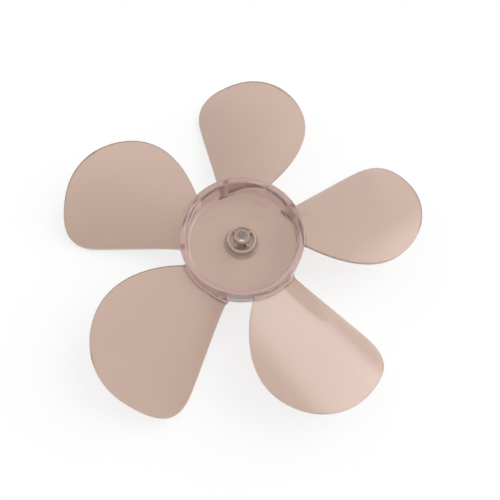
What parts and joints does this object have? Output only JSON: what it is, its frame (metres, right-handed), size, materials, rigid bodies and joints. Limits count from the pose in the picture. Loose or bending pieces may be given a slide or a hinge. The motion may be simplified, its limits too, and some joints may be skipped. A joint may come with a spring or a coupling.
{
  "type": "fan blade",
  "caption": "One-piece clear plastic axial fan: curved blades round a hub cup, with a ribbed boss and a bore that presses onto a small motor shaft.",
  "frame": {"origin": "centre of the shaft bore at the hub's closed face", "axes": "+Z along the bore axis, out of the open side of the hub cup; the picture looks along +Y and down"},
  "size_m": [0.1167, 0.1149, 0.0171],
  "materials": {
    "fan_plastic": "clear tinted plastic, mauve grey, glossy, moulded"
  },
  "bodies": {
    "root": {"fan_blade": "fan_plastic"}
  },
  "joints": []
}
